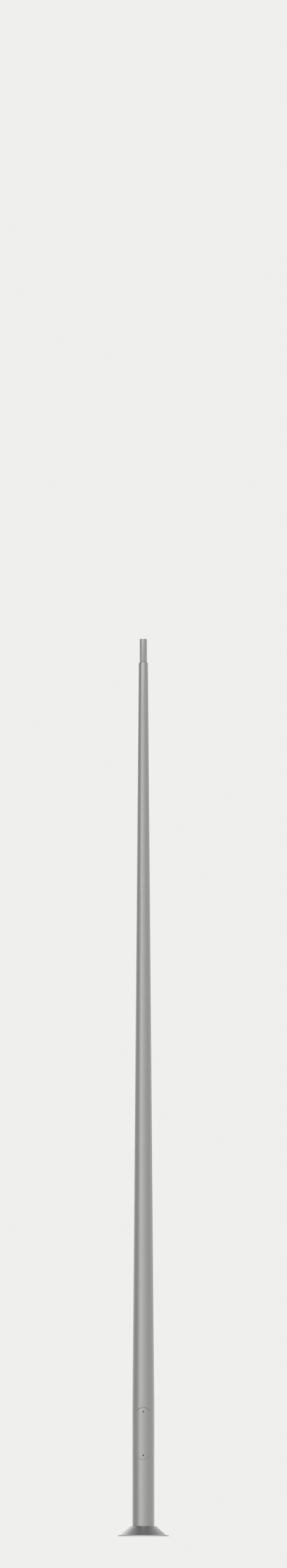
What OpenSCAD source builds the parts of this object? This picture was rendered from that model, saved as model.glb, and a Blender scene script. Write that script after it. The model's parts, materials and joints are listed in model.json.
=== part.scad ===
// Tapered aluminium lighting pole with a flush service door, a top spigot and a conical base cover.
// Origin: centre of the base plate's underside, at ground level. +Z is up, and the door faces -Y.

/* [Shaft] */
// Outside diameter of the straight lower length
shaft_d = 180; // [160:1:200]
// Wall thickness of the shaft
shaft_wall = 4.5; // [3:0.5:6]
// Width of the shoulder round the spigot
shoulder_w = 8; // [7:0.5:16]
// Height of the shoulder above the ground
shoulder_z = 7205; // [5000:5:9000]
// Height of the taper's start above the door opening
taper_rise = 7; // [0:1:400]
// Rounding of the shoulder's outer edge
shoulder_round = 1.5; // [0.5:0.5:3]

/* [Spigot] */
// Outside diameter of the spigot
spigot_d = 60; // [42:1:90]
// Length of the spigot above the shoulder
spigot_h = 195; // [100:5:300]
// Wall thickness of the spigot
spigot_wall = 5; // [4:0.5:8]
// Length of the plug that sits inside the shaft
plug_h = 120; // [60:5:200]
// Clearance between the plug and the shaft's mouth
plug_clearance = 0.2; // [0.1:0.1:0.3]
// Height of the relief groove above the shoulder
groove_h = 5; // [3:0.5:8]
// Depth of the relief groove
groove_depth = 1.5; // [0.5:0.5:2.5]
// Chamfer round the spigot's top edge
spigot_chamfer = 2; // [1:0.5:3]

/* [Base plate] */
// Thickness of the base plate
plate_t = 20; // [15:1:24]
// Depth of the groove that takes the shaft's foot
foot_depth = 8; // [4:1:12]
// Diameter of the cable hole
cable_hole_d = 110; // [80:1:140]
// Distance from the shaft's outer face to the circle of anchor holes
anchor_offset = 40; // [34:1:60]
// Distance from the circle of anchor holes to the plate's rim
anchor_edge = 30; // [24:1:50]
// Diameter of each anchor hole
anchor_hole_d = 24; // [22:1:26]
// Number of anchor holes
anchor_count = 4; // [3:1:8]
// Chamfer round the plate's rim
plate_chamfer = 2; // [1:0.5:4]
// Leg of the fillet weld round the shaft's foot
weld_leg = 8; // [6:1:12]

/* [Base cover] */
// Distance from the plate's rim to the foot of the cone
cone_margin = 27; // [22:1:60]
// Width of the brim outside the cone
brim_w = 23; // [10:1:50]
// Height of the brim's turned-down rim
brim_h = 10; // [8:1:14]
// Width of the flat ledge between the cone and the shaft
ledge_w = 15; // [10:1:30]
// Height of the cover
cover_h = 83; // [78:1:120]
// Thickness of the spun sheet
cover_sheet = 3; // [2:0.5:4]
// Radius of the bends at the rim and at the top edge
cover_bend = 4; // [3.5:0.5:6]
// Clearance between the cover's lip and the shaft
cover_clearance = 1; // [0.5:0.5:2]

/* [Door] */
// Width of the door opening, straight across at the outer face
opening_w = 118; // [100:1:120]
// Height of the door opening
opening_h = 432; // [380:1:440]
// Amount by which the radius of the round ends passes half the width
end_bulge = 7; // [2:0.5:20]
// Height of the middle of the door above the ground
door_z = 847; // [800:1:860]
// Gap round the door
door_gap = 1; // [0.5:0.5:4]
// Distance from the opening's ends to the door screws
screw_inset = 36; // [24:1:60]
// Wall thickness of the sleeves behind the door
sleeve_wall = 2.7; // [2:0.1:4]

/* [Door screws] */
// Diameter of the screw thread
screw_d = 6; // [5:1:6]
// Diameter of the screw head
screw_head_d = 10; // [9:0.5:10]
// Height of the screw head
screw_head_h = 6; // [5:0.5:8]
// Depth of the head below the door's face
screw_recess = 4; // [2:0.5:6]
// Width across the flats of the hexagon socket
socket_af = 5; // [4:0.5:5]
// Depth of the hexagon socket
socket_depth = 3; // [2:0.5:4]
// Clearance round the head and round the thread, on the diameter
screw_clearance = 0.6; // [0.4:0.1:1]
// Length of thread that stands out behind the bridge
screw_tail = 6; // [3:1:10]

/* [Inside] */
// Angle past the opening's edge at which a door bridge meets the wall
bridge_seat_angle = 6.3; // [4:0.1:12]
// Thickness of a door bridge
bridge_t = 6; // [4:1:8]
// Height of a door bridge
bridge_h = 24; // [18:1:30]
// Width of the equipment rail
rail_w = 35; // [28:1:50]
// Depth of the equipment rail
rail_depth = 15; // [12:1:22]
// Sheet thickness of the equipment rail
rail_t = 2; // [1.5:0.5:3]
// Width of the lips beside the rail's slot
rail_lip = 9.5; // [5:0.5:14]
// Distance from the door opening's ends to the ends of the equipment rail
rail_margin = 66; // [60:1:120]
// Diameter of the earth stud
earth_d = 8; // [6:1:10]
// Length of the earth stud
earth_l = 30; // [25:1:40]
// Height of the earth stud above the lower door screw
earth_rise = 23; // [22:1:100]
// Angle of the earth stud from the back of the shaft
earth_angle = 40; // [30:1:60]
// Width across the flats of the earth nut
earth_nut_af = 13; // [13:1:17]
// Thickness of the earth nut
earth_nut_t = 6.5; // [5:0.5:8]
// Diameter of the earth washer
earth_washer_d = 16; // [16:1:24]
// Thickness of the earth washer
earth_washer_t = 1.6; // [1:0.2:2.4]
// Gap between the shaft's wall and the washer
earth_standoff = 10; // [6:1:14]
// Gap at a welded or screwed seat
seat_gap = 0.15; // [0.1:0.05:0.3]

/* [Hidden] */
$fn = 96;

shaft_r = shaft_d / 2;
bore_r = shaft_r - shaft_wall;
spigot_r = spigot_d / 2;
spigot_bore_r = spigot_r - spigot_wall;
top_r = spigot_r + shoulder_w;
mouth_r = top_r - shaft_wall;
foot_z = plate_t - foot_depth;
taper_z = door_z + opening_h / 2 + taper_rise;
anchor_r = shaft_r + anchor_offset;
plate_r = anchor_r + anchor_edge;
cone_foot_r = plate_r + cone_margin;
cone_top_r = shaft_r + ledge_w;
rim_r = cone_foot_r + brim_w;
lip_r = shaft_r + cover_clearance;
cone_angle = atan2(cover_h - brim_h, cone_foot_r - cone_top_r);
sheet_drop = cover_sheet / cos(cone_angle);
opening_half_angle = asin(opening_w / 2 / shaft_r);
opening_end_r = opening_w / 2 + end_bulge;
screw_reach = opening_h / 2 - screw_inset;
screw_z = [door_z + screw_reach, door_z - screw_reach];
bridge_y = bore_r * cos(opening_half_angle + bridge_seat_angle);
head_seat_y = shaft_r - screw_recess - screw_head_h;
thread_hole_d = screw_d + screw_clearance;
head_hole_d = screw_head_d + screw_clearance;
sleeve_d = head_hole_d + 2 * sleeve_wall;
rail_h = opening_h - 2 * rail_margin;
rail_back_y = sqrt(pow(bore_r, 2) - pow(rail_w / 2, 2)) - seat_gap;
bend_steps = 6;
through = 1;

// Points of an arc about a centre, in the plane of a profile.
function arc(centre, radius, from, to, steps = bend_steps) =
    [for (i = [0 : steps]) let (a = from + (to - from) * i / steps) centre + radius * [cos(a), sin(a)]];

// Radius of the cover's cone at a height on its outer face.
function cone_r(z) = cone_foot_r - (z - brim_h) / tan(cone_angle);

// The shaft's wall: straight at the foot, then tapering to a rounded shoulder.
module shaft_wall_ring() {
    rotate_extrude()
        polygon(concat(
            [[bore_r, foot_z], [shaft_r, foot_z], [shaft_r, taper_z]],
            arc([top_r - shoulder_round, shoulder_z - shoulder_round], shoulder_round, 0, 90),
            [[mouth_r, shoulder_z], [bore_r, taper_z]]
        ));
}

// The prism of the door's outline: flanks that run to the shaft's axis, and round ends, drawn in by an inset.
module door_prism(inset) {
    flank = opening_half_angle - inset / shaft_r * 180 / PI;
    end_r = opening_end_r - inset;
    end_z = opening_h / 2 - opening_end_r;
    reach = shaft_d;
    intersection() {
        translate([0, 0, door_z - opening_h])
            linear_extrude(2 * opening_h)
                polygon([[0, 0], [-reach * tan(flank), -reach], [reach * tan(flank), -reach]]);
        translate([0, 0, door_z])
            rotate([90, 0, 0])
                linear_extrude(reach) {
                    square([2 * end_r, 2 * end_z], center = true);
                    for (side = [-1, 1]) translate([0, side * end_z]) circle(end_r);
                }
    }
}

// A cylinder that runs from one depth to another towards the door, at a screw's height.
module along_screw(z, d, from, to) {
    translate([0, -from, z]) rotate([90, 0, 0]) cylinder(h = to - from, d = d);
}

module base_plate() {
    hole_r = cable_hole_d / 2;
    color("gainsboro")
        difference() {
            rotate_extrude()
                polygon([
                    [hole_r, 0],
                    [plate_r - plate_chamfer, 0],
                    [plate_r, plate_chamfer],
                    [plate_r, plate_t - plate_chamfer],
                    [plate_r - plate_chamfer, plate_t],
                    [shaft_r + seat_gap, plate_t],
                    [shaft_r + seat_gap, foot_z],
                    [bore_r - seat_gap, foot_z],
                    [bore_r - seat_gap, plate_t],
                    [hole_r, plate_t]
                ]);
            for (i = [0 : anchor_count - 1])
                rotate([0, 0, 360 / anchor_count * (i + 0.5)])
                    translate([anchor_r, 0, -through])
                        cylinder(h = plate_t + 2 * through, d = anchor_hole_d);
        }
}

module foot_weld() {
    weld_r = shaft_r + seat_gap;
    color("silver")
        rotate_extrude()
            polygon([[weld_r, plate_t], [weld_r + weld_leg, plate_t], [weld_r, plate_t + weld_leg]]);
}

module base_cover() {
    under_z = brim_h - cover_sheet;
    lip_z = cover_h - cover_sheet;
    bend_r = cone_r(cover_h) - cover_bend * tan(cone_angle / 2);
    color("darkgray")
        rotate_extrude()
            polygon(concat(
                [[rim_r - cover_sheet, 0], [rim_r, 0]],
                arc([rim_r - cover_bend, brim_h - cover_bend], cover_bend, 0, 90),
                [[cone_r(brim_h), brim_h]],
                arc([bend_r, cover_h - cover_bend], cover_bend, 90 - cone_angle, 90),
                [[lip_r, cover_h], [lip_r, lip_z]],
                [[cone_r(lip_z + sheet_drop), lip_z], [cone_r(under_z + sheet_drop), under_z]],
                [[rim_r - cover_sheet, under_z]]
            ));
}

module shaft() {
    color("silver")
        difference() {
            shaft_wall_ring();
            door_prism(0);
        }
}

module spigot() {
    plug_r = mouth_r - plug_clearance;
    groove_r = spigot_r - groove_depth;
    top_z = shoulder_z + spigot_h;
    color("silver")
        rotate_extrude()
            polygon([
                [spigot_bore_r, shoulder_z - plug_h],
                [plug_r, shoulder_z - plug_h],
                [plug_r, shoulder_z],
                [groove_r, shoulder_z],
                [groove_r, shoulder_z + groove_h],
                [spigot_r, shoulder_z + groove_h],
                [spigot_r, top_z - spigot_chamfer],
                [spigot_r - spigot_chamfer, top_z],
                [spigot_bore_r, top_z]
            ]);
}

module door() {
    color("silver")
        difference() {
            intersection() {
                shaft_wall_ring();
                door_prism(door_gap);
            }
            for (z = screw_z) along_screw(z, head_hole_d, 0, shaft_d);
        }
}

// A sleeve behind the door that carries a screw head and rests on the bridge.
module door_sleeve(z) {
    color("gray")
        difference() {
            intersection() {
                along_screw(z, sleeve_d, bridge_y + seat_gap, shaft_d);
                cylinder(h = shoulder_z, r = bore_r - seat_gap);
            }
            along_screw(z, thread_hole_d, 0, shaft_d);
            along_screw(z, head_hole_d, head_seat_y, shaft_d);
        }
}

module door_screw(z) {
    head_top_y = head_seat_y + screw_head_h;
    color("black")
        difference() {
            union() {
                along_screw(z, screw_d, bridge_y - bridge_t - screw_tail, head_seat_y + through);
                along_screw(z, screw_head_d, head_seat_y + seat_gap, head_top_y);
            }
            translate([0, -head_top_y + socket_depth, z])
                rotate([90, 0, 0])
                    cylinder(h = socket_depth + through, d = socket_af / cos(30), $fn = 6);
        }
}

// A flat bar across the inside of the shaft, which takes a door screw.
module door_bridge(z) {
    color("lightgray")
        difference() {
            intersection() {
                translate([-shaft_r, -bridge_y, z - bridge_h / 2]) cube([shaft_d, bridge_t, bridge_h]);
                cylinder(h = shoulder_z, r = bore_r - seat_gap);
            }
            along_screw(z, thread_hole_d, 0, shaft_d);
        }
}

module equipment_rail() {
    color("lightgray")
        translate([0, rail_back_y - rail_depth / 2, door_z - rail_h / 2])
            linear_extrude(rail_h)
                difference() {
                    square([rail_w, rail_depth], center = true);
                    square([rail_w - 2 * rail_t, rail_depth - 2 * rail_t], center = true);
                    translate([0, -rail_depth / 2]) square([rail_w - 2 * rail_lip, 4 * rail_t], center = true);
                }
}

// Places what is on the earth stud: a distance in from the shaft's bore, along the stud.
module on_earth_stud(inward) {
    rotate([0, 0, -earth_angle]) translate([0, bore_r - inward, screw_z[1] + earth_rise]) rotate([90, 0, 0]) children();
}

module earth_stud() {
    color("goldenrod") on_earth_stud(seat_gap) cylinder(h = earth_l, d = earth_d);
}

module earth_washer() {
    color("silver")
        on_earth_stud(earth_standoff)
            difference() {
                cylinder(h = earth_washer_t, d = earth_washer_d);
                translate([0, 0, -through])
                    cylinder(h = earth_washer_t + 2 * through, d = earth_d + 2 * seat_gap);
            }
}

module earth_nut() {
    color("goldenrod")
        on_earth_stud(earth_standoff + earth_washer_t)
            difference() {
                cylinder(h = earth_nut_t, d = earth_nut_af / cos(30), $fn = 6);
                translate([0, 0, -through])
                    cylinder(h = earth_nut_t + 2 * through, d = earth_d + 2 * seat_gap);
            }
}

base_plate();
foot_weld();
base_cover();
shaft();
spigot();
door();
door_sleeve(screw_z[0]);  // door_sleeve_upper
door_sleeve(screw_z[1]);  // door_sleeve_lower
door_screw(screw_z[0]);  // door_screw_upper
door_screw(screw_z[1]);  // door_screw_lower
door_bridge(screw_z[0]);  // door_bridge_upper
door_bridge(screw_z[1]);  // door_bridge_lower
equipment_rail();
earth_stud();
earth_washer();
earth_nut();
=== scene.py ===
# %% [markdown]
# An aluminium lighting pole, piece by piece.
# The real pole is a spun aluminium tube with a service door cut from its own wall, a turned spigot on
# top and a spun cover over its anchor plate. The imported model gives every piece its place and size, so
# nothing is fitted here: each cell reads the frame, builds a finer mesh of one piece and gives it a finish.

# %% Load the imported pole
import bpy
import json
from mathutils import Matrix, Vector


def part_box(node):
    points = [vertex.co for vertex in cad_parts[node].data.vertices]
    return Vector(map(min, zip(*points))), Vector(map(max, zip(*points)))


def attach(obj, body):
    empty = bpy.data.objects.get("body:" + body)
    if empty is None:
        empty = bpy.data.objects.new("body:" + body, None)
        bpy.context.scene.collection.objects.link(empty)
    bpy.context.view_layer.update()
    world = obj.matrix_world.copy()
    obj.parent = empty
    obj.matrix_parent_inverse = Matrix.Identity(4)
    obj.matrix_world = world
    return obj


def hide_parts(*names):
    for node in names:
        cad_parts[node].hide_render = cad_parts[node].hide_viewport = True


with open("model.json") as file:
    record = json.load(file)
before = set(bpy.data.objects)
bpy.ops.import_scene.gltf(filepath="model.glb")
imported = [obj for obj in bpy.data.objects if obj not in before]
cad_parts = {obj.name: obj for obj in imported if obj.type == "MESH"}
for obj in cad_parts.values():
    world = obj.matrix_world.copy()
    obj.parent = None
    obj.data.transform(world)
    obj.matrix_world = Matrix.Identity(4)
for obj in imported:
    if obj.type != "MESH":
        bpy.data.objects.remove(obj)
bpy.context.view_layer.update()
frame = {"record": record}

# %% [markdown]
# Sizes are written in millimetres, as on a drawing, and turned to Blender's metres where a mesh is made.
# A node's box gives its outside sizes, and the record's mounts give the bores and bolt holes. Only what
# neither of them holds, such as a wall thickness, is written here.

# %% Read sizes from the frame
import json
import math
import bmesh
import bpy
from mathutils import Matrix, Vector

MM = 0.001


def box_mm(node):
    """Lowest and highest corner of a node, in millimetres."""
    low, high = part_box(node)
    return Vector(low) / MM, Vector(high) / MM


def middle_z(node):
    """Height of the middle of a node, in millimetres."""
    return sum(corner.z for corner in box_mm(node)) / 2


mounts = {mount["name"]: mount["dims"] for mount in frame["record"]["mounts"]}
shaft_low, shaft_high = box_mm("shaft")
shaft_r = shaft_high.x
foot_z = shaft_low.z
shoulder_z = shaft_high.z
print(f"shaft: radius {shaft_r:.1f} mm, from {foot_z:.1f} to {shoulder_z:.1f} mm")

# %% [markdown]
# The picture is a level view with no perspective, as on a data sheet: the pole's two edges and its foot
# show no sign of a vanishing point. An orthographic camera gives that. Its height is set so that the
# ground falls on the right row of the picture, and its scale is the size of one pixel.

# %% Place the camera
PHOTO_HEIGHT_PX = 2576
PHOTO_WIDTH_PX = 472
GROUND_ROW_PX = 2523.8
AXIS_COLUMN_PX = 235.75
PIXEL_MM = 5.02
CAMERA_DISTANCE = 30.0
RIGHT_ANGLE = math.radians(90)

camera_data = bpy.data.cameras.new("level_camera")
camera_data.type = "ORTHO"
camera_data.sensor_fit = "VERTICAL"
camera_data.ortho_scale = PHOTO_HEIGHT_PX * PIXEL_MM * MM
camera = bpy.data.objects.new("level_camera", camera_data)
camera.location = (
    (PHOTO_WIDTH_PX / 2 - AXIS_COLUMN_PX) * PIXEL_MM * MM,
    -CAMERA_DISTANCE,
    (GROUND_ROW_PX - PHOTO_HEIGHT_PX / 2) * PIXEL_MM * MM,
)
camera.rotation_euler = (RIGHT_ANGLE, 0, 0)
bpy.context.collection.objects.link(camera)
bpy.context.scene.camera = camera
bpy.context.scene.view_settings.view_transform = "Standard"
print("camera:", [round(c, 4) for c in camera.location], "scale", round(camera_data.ortho_scale, 4))

# %% [markdown]
# Two small helpers serve every finish. Colours are written as sRGB hex, the way a colour picker shows
# them, but Blender's sockets take linear light, so one function converts them by the sRGB standard's own
# curve. The other adds a node with its settings and links, so a shader reads as a list of steps.

# %% Colour and node helpers


def linear(hex_colour):
    """An sRGB hex colour as the linear RGBA that a socket takes."""
    channels = [int(hex_colour[i:i + 2], 16) / 255 for i in (1, 3, 5)]
    return [c / 12.92 if c <= 0.04045 else ((c + 0.055) / 1.055) ** 2.4 for c in channels] + [1.0]


def add_node(tree, kind, settings, links=None):
    """Adds a shader node, sets its sockets or properties by name, and links its inputs."""
    node = tree.nodes.new("ShaderNode" + kind)
    for name, value in settings.items():
        if name in node.inputs:
            node.inputs[name].default_value = value
        else:
            setattr(node, name, value)
    for name, source in (links or {}).items():
        tree.links.new(source, node.inputs[name])
    return node


print("mid grey #808080 is", round(linear("#808080")[0], 3), "in linear light")

# %% [markdown]
# A studio for bare metal is mostly its walls, because metal shows what surrounds it. Here the walls are
# pale all round, and they darken towards the ceiling, which the cone of the cover mirrors. A grey flag
# on the left gives the shaft the dark band beside its left edge. Panels in the scene could do the same,
# but a world whose colour follows the direction leaves nothing in a camera's way.

# %% Walls of the studio
WALL_COLOUR = "#EFEFED"
WALL_TOP = 0.35
UPPER_COLOUR = "#AAAAA9"
UPPER_FROM, UPPER_TO = 0.5, 0.75
CEILING_COLOUR = "#ACACAB"
CEILING_FROM = 0.88
FLAG_COLOUR = "#C1C1C0"
CLEAR_COLOUR = "#FFFFFF"
FLAG_FROM, FLAG_TO = -1.0, -0.65

world = bpy.data.worlds.new("pale_studio")
world.use_nodes = True
world.node_tree.nodes.clear()
bpy.context.scene.world = world
sky = world.node_tree
direction = add_node(sky, "TexCoord", {})
sides = add_node(sky, "SeparateXYZ", {}, {"Vector": direction.outputs["Generated"]})
wall_to_ceiling = add_node(sky, "ValToRGB", {}, {"Fac": sides.outputs["Z"]})
wall_stop, ceiling_stop = wall_to_ceiling.color_ramp.elements
wall_stop.color = linear(WALL_COLOUR)
wall_stop.position = WALL_TOP
ceiling_stop.color = linear(CEILING_COLOUR)
ceiling_stop.position = CEILING_FROM
for upper_height in (UPPER_FROM, UPPER_TO):
    wall_to_ceiling.color_ramp.elements.new(upper_height).color = linear(UPPER_COLOUR)
off_flag = add_node(
    sky, "MapRange", {"From Min": FLAG_FROM, "From Max": FLAG_TO}, {"Value": sides.outputs["X"]},
)
flag = add_node(sky, "ValToRGB", {}, {"Fac": off_flag.outputs["Result"]})
flag.color_ramp.elements[0].color = linear(FLAG_COLOUR)
flag.color_ramp.elements[1].color = linear(CLEAR_COLOUR)
walls = add_node(
    sky, "VectorMath", {"operation": "MULTIPLY"},
    {0: wall_to_ceiling.outputs["Color"], 1: flag.outputs["Color"]},
)
glow = add_node(sky, "Background", {}, {"Color": walls.outputs["Vector"]})
add_node(sky, "OutputWorld", {}, {"Surface": glow.outputs["Background"]})
print("walls", WALL_COLOUR, "ceiling", CEILING_COLOUR, "flag", FLAG_COLOUR)

# %% [markdown]
# Soft suns far away add the rest: a low one on the left draws the long bright band, a high one in front
# widens it to the right, and four behind lift the edges. A sun lights the foot and the top alike, which
# a lamp a few metres from a seven metre pole would not.

# %% Hang the suns
SUN_WIDTH_DEGREES = 40.0


def add_sun(name, strength, azimuth, elevation):
    """A soft sun that shines from an azimuth in degrees right of the camera, and from an elevation."""
    data = bpy.data.lights.new(name, "SUN")
    data.energy = strength
    data.angle = math.radians(SUN_WIDTH_DEGREES)
    sun = bpy.data.objects.new(name, data)
    around, up = math.radians(azimuth), math.radians(elevation)
    towards = Vector((math.sin(around) * math.cos(up), -math.cos(around) * math.cos(up), math.sin(up)))
    sun.rotation_euler = towards.to_track_quat("Z", "Y").to_euler()
    bpy.context.collection.objects.link(sun)
    return sun


suns = [
    add_sun("low_left_sun", strength=0.45, azimuth=-33, elevation=15),
    add_sun("high_front_sun", strength=1.7, azimuth=4, elevation=40),
    add_sun("high_back_left_sun", strength=0.41, azimuth=-170, elevation=40),
    add_sun("high_back_right_sun", strength=0.31, azimuth=170, elevation=40),
    add_sun("low_back_left_sun", strength=0.24, azimuth=-145, elevation=15),
    add_sun("low_back_right_sun", strength=0.17, azimuth=130, elevation=15),
]
print("suns:", [(sun.name, round(sun.data.energy, 2)) for sun in suns])

# %% [markdown]
# The floor is painted with a roller. Its paint is matt and pale, with a faint mottling about as wide as
# the roller's marks, so that the ground isn't one dead flat colour.

# %% Rolled floor paint
ROLLER_MARK_MM = 60.0
ROLLER_DETAIL = 2.0
PAINT_DARK, PAINT_LIGHT = "#F0F0EE", "#F4F4F2"
PAINT_ROUGHNESS = 0.9


def new_material(name):
    """An empty node material and its tree."""
    material = bpy.data.materials.new(name)
    material.use_nodes = True
    material.node_tree.nodes.clear()
    return material, material.node_tree


floor_paint, tree = new_material("rolled_floor_paint")
place = add_node(tree, "TexCoord", {})
mottle = add_node(
    tree, "TexNoise", {"Scale": 1 / (ROLLER_MARK_MM * MM), "Detail": ROLLER_DETAIL},
    {"Vector": place.outputs["Object"]},
)
paint_tone = add_node(tree, "ValToRGB", {}, {"Fac": mottle.outputs["Fac"]})
paint_tone.color_ramp.elements[0].color = linear(PAINT_DARK)
paint_tone.color_ramp.elements[1].color = linear(PAINT_LIGHT)
matt = add_node(
    tree, "BsdfPrincipled", {"Roughness": PAINT_ROUGHNESS}, {"Base Color": paint_tone.outputs["Color"]},
)
add_node(tree, "OutputMaterial", {}, {"Surface": matt.outputs["BSDF"]})
print("made", floor_paint.name)

# %% [markdown]
# The floor itself is a plain disc, wide enough to fill any view from above. It lies a hair below the
# pole's foot so that no two faces share a plane.

# %% Lay the floor
FLOOR_RADIUS = 400.0
FLOOR_DROP = 0.5 * MM
FLOOR_SIDES = 64

floor_mesh = bpy.data.meshes.new("studio_floor")
disc = bmesh.new()
bmesh.ops.create_circle(disc, cap_ends=True, radius=FLOOR_RADIUS, segments=FLOOR_SIDES)
disc.to_mesh(floor_mesh)
disc.free()
floor_mesh.materials.append(floor_paint)
studio_floor = bpy.data.objects.new("studio_floor", floor_mesh)
studio_floor.location.z = -FLOOR_DROP
bpy.context.collection.objects.link(studio_floor)
print("floor:", FLOOR_RADIUS, "m in radius")

# %% [markdown]
# Satin aluminium is made by turning a tube against an abrasive belt. The belt leaves fine rings round
# the metal, so the surface is grey and soft, with a long highlight and edges that brighten towards the
# wall behind them. The rings are really a few tenths of a millimetre high, far too fine for the
# picture, so they are drawn about 6 mm high and very faint. The same steps, with other sizes, also make
# the turned spigot, so they are a function.

# %% Satin aluminium
STREAK_DETAIL = 4.0
STREAK_ROUGHNESS = 0.6
STREAK_STRENGTH = 0.3
TONE_FROM, TONE_TO = 0.3, 0.7
SHAFT_STREAK_MM = (900.0, 900.0, 6.0)


def satin_metal(name, dark, light, streak, roughness, relief):
    """A metal with faint streaks. The streak is its size along X, Y and Z in millimetres."""
    material, tree = new_material(name)
    place = add_node(tree, "TexCoord", {})
    stretched = add_node(
        tree, "Mapping", {"Scale": [1 / (size * MM) for size in streak]},
        {"Vector": place.outputs["Object"]},
    )
    streaks = add_node(
        tree, "TexNoise", {"Scale": 1.0, "Detail": STREAK_DETAIL, "Roughness": STREAK_ROUGHNESS},
        {"Vector": stretched.outputs["Vector"]},
    )
    tone = add_node(tree, "ValToRGB", {}, {"Fac": streaks.outputs["Fac"]})
    dark_stop, light_stop = tone.color_ramp.elements
    dark_stop.position = TONE_FROM
    dark_stop.color = linear(dark)
    light_stop.position = TONE_TO
    light_stop.color = linear(light)
    polish = add_node(
        tree, "MapRange", {"To Min": roughness[0], "To Max": roughness[1]},
        {"Value": streaks.outputs["Fac"]},
    )
    grooves = add_node(
        tree, "Bump", {"Strength": STREAK_STRENGTH, "Distance": relief * MM},
        {"Height": streaks.outputs["Fac"]},
    )
    shader = add_node(
        tree, "BsdfPrincipled", {"Metallic": 1.0},
        {
            "Base Color": tone.outputs["Color"],
            "Roughness": polish.outputs["Result"],
            "Normal": grooves.outputs["Normal"],
        },
    )
    add_node(tree, "OutputMaterial", {}, {"Surface": shader.outputs["BSDF"]})
    print("made", name)
    return material


satin_aluminium = satin_metal(
    "satin_ground_aluminium", dark="#9B9B9B", light="#9F9F9F",
    streak=SHAFT_STREAK_MM, roughness=(0.37, 0.43), relief=0.08,
)

# %% [markdown]
# The spigot comes off a lathe. The tool leaves a finer, brighter ring than the belt does, so its streaks
# are shorter and its roughness lower. The weld, the plate and the small inside pieces are aluminium too,
# but with surfaces made in other ways: the weld is bright and slightly frosted where it froze, and the
# plate keeps the long straight lines of the rolling mill.

# %% Turned, welded and rolled aluminium
SPIGOT_STREAK_MM = (600.0, 600.0, 4.0)
WELD_FROST_MM = (2.0, 2.0, 2.0)
MILL_LINE_MM = (90.0, 3.0, 40.0)
turned_aluminium = satin_metal(
    "turned_aluminium", dark="#9D9D9D", light="#A1A1A1",
    streak=SPIGOT_STREAK_MM, roughness=(0.34, 0.4), relief=0.06,
)
weld_aluminium = satin_metal(
    "frosted_weld_aluminium", dark="#A2A3A4", light="#BCBDBE",
    streak=WELD_FROST_MM, roughness=(0.3, 0.5), relief=0.2,
)
mill_aluminium = satin_metal(
    "mill_rolled_aluminium", dark="#A8A9AA", light="#B4B5B6",
    streak=MILL_LINE_MM, roughness=(0.34, 0.46), relief=0.05,
)

# %% [markdown]
# The cover is spun: a flat disc turns while a roller presses it over a former, and the roller leaves
# rings round the axis. On a cone those rings are circles that grow, so their pattern follows the
# distance from the axis and not the height. Blender's Wave Texture has a ring form for this. A real roller
# mark is about 1 mm wide, and it is drawn 6 mm wide so that it can show.

# %% Rings of spun aluminium
ROLLER_RING_MM = 6.0
WAVE_RADIANS_PER_UNIT = 20.0
RING_DISTORTION = 1.5
RING_DETAIL = 3.0
RING_DARK, RING_LIGHT = "#979797", "#9B9B9B"
RING_SMOOTH, RING_ROUGH = 0.34, 0.4
RING_STRENGTH = 0.2
RING_RELIEF_MM = 0.05

spun_aluminium, tree = new_material("spun_aluminium")
place = add_node(tree, "TexCoord", {})
rings = add_node(
    tree, "TexWave",
    {
        "wave_type": "RINGS",
        "rings_direction": "Z",
        "Scale": 2 * math.pi / (WAVE_RADIANS_PER_UNIT * ROLLER_RING_MM * MM),
        "Distortion": RING_DISTORTION,
        "Detail": RING_DETAIL,
    },
    {"Vector": place.outputs["Object"]},
)
ring_tone = add_node(tree, "ValToRGB", {}, {"Fac": rings.outputs["Fac"]})
ring_tone.color_ramp.elements[0].color = linear(RING_DARK)
ring_tone.color_ramp.elements[1].color = linear(RING_LIGHT)
ring_polish = add_node(
    tree, "MapRange", {"To Min": RING_SMOOTH, "To Max": RING_ROUGH}, {"Value": rings.outputs["Fac"]},
)
ring_relief = add_node(
    tree, "Bump", {"Strength": RING_STRENGTH, "Distance": RING_RELIEF_MM * MM},
    {"Height": rings.outputs["Fac"]},
)
print("roller rings are", ROLLER_RING_MM, "mm wide")

# %% [markdown]
# Last, a tool trims the disc's rim, and a fresh cut is matt, so the rim is rougher. Its colour is made
# lighter too, as painted light that makes the rim look evenly bright all round. No other part of the cover
# is as far from the middle of its foot, so roughness and painted light simply rise with that distance.

# %% Rim of the cover: rougher, with painted light
RIM_BAND_FROM_MM, RIM_BAND_TO_MM = 2.0, 0.5
TRIM_ROUGHNESS = 0.42
# How much lighter the rim's colour is made: painted light, not the metal's own colour.
RIM_PAINTED_LIGHT = 1.6

_, cover_high = box_mm("base_cover")
rim_r = cover_high.x
from_foot = add_node(tree, "VectorMath", {"operation": "LENGTH"}, {"Vector": place.outputs["Object"]})
rim_band_rough_and_painted = {"From Min": (rim_r - RIM_BAND_FROM_MM) * MM, "From Max": (rim_r - RIM_BAND_TO_MM) * MM}
rougher = add_node(
    tree, "MapRange", {**rim_band_rough_and_painted, "To Max": TRIM_ROUGHNESS}, {"Value": from_foot.outputs["Value"]},
)
# Painted light: the rim's colour is scaled up so that it looks evenly bright all round.
painted_rim_light = add_node(
    tree, "MapRange", {**rim_band_rough_and_painted, "To Min": 1.0, "To Max": RIM_PAINTED_LIGHT},
    {"Value": from_foot.outputs["Value"]},
)
cover_polish = add_node(
    tree, "Math", {"operation": "ADD"},
    {0: ring_polish.outputs["Result"], 1: rougher.outputs["Result"]},
)
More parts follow.
